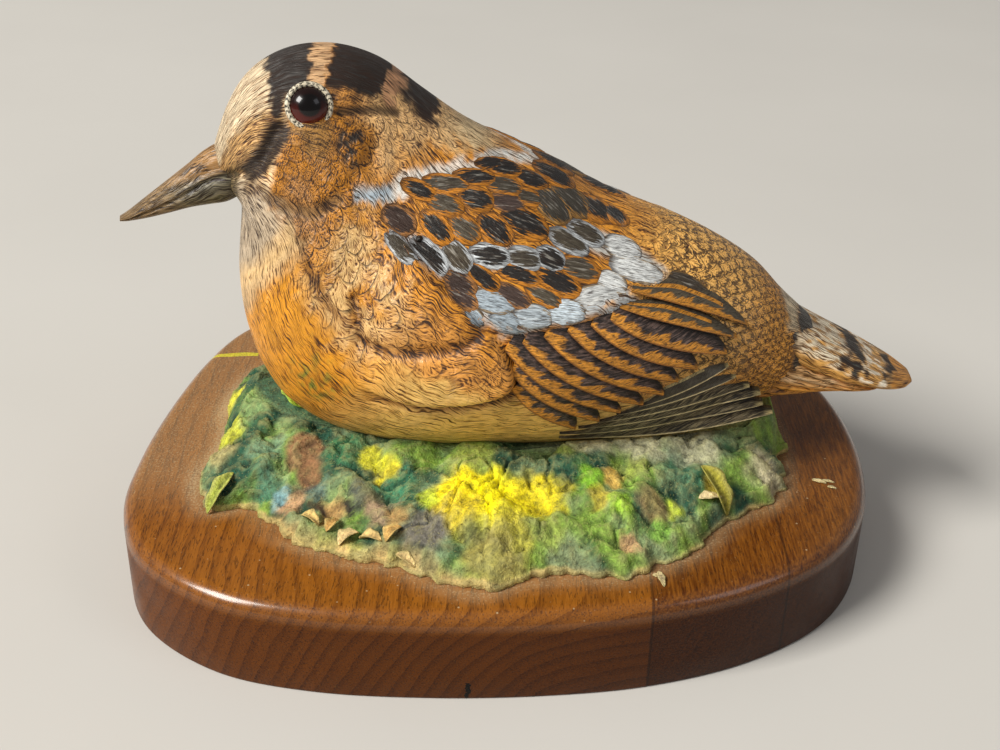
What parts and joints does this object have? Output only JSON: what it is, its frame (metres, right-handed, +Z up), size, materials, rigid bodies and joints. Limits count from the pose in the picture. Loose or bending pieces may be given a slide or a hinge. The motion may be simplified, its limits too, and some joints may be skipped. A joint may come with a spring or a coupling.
{
  "type": "shorebird decoy",
  "caption": "Carved and painted woodcock with glass eyes, sitting on a mossy mound on a thick rounded walnut base.",
  "frame": {"origin": "middle of the walnut base's underside", "axes": "+X towards the bird's tail, +Z up, the bird's left side faces -Y"},
  "size_m": [0.2247, 0.173, 0.1456],
  "materials": {
    "painted_wood": "carved wood under dull orange-brown, black, buff and blue-grey paint",
    "eye_glass": "polished dark red-brown glass with a black pupil",
    "painted_moss": "dusty matte paint on moulded filler",
    "walnut": "satin varnish"
  },
  "bodies": {
    "root": {"bird": "painted_wood", "left_eye": "eye_glass", "right_eye": "eye_glass", "mossy_ground": "painted_moss", "walnut_base": "walnut"}
  },
  "joints": []
}
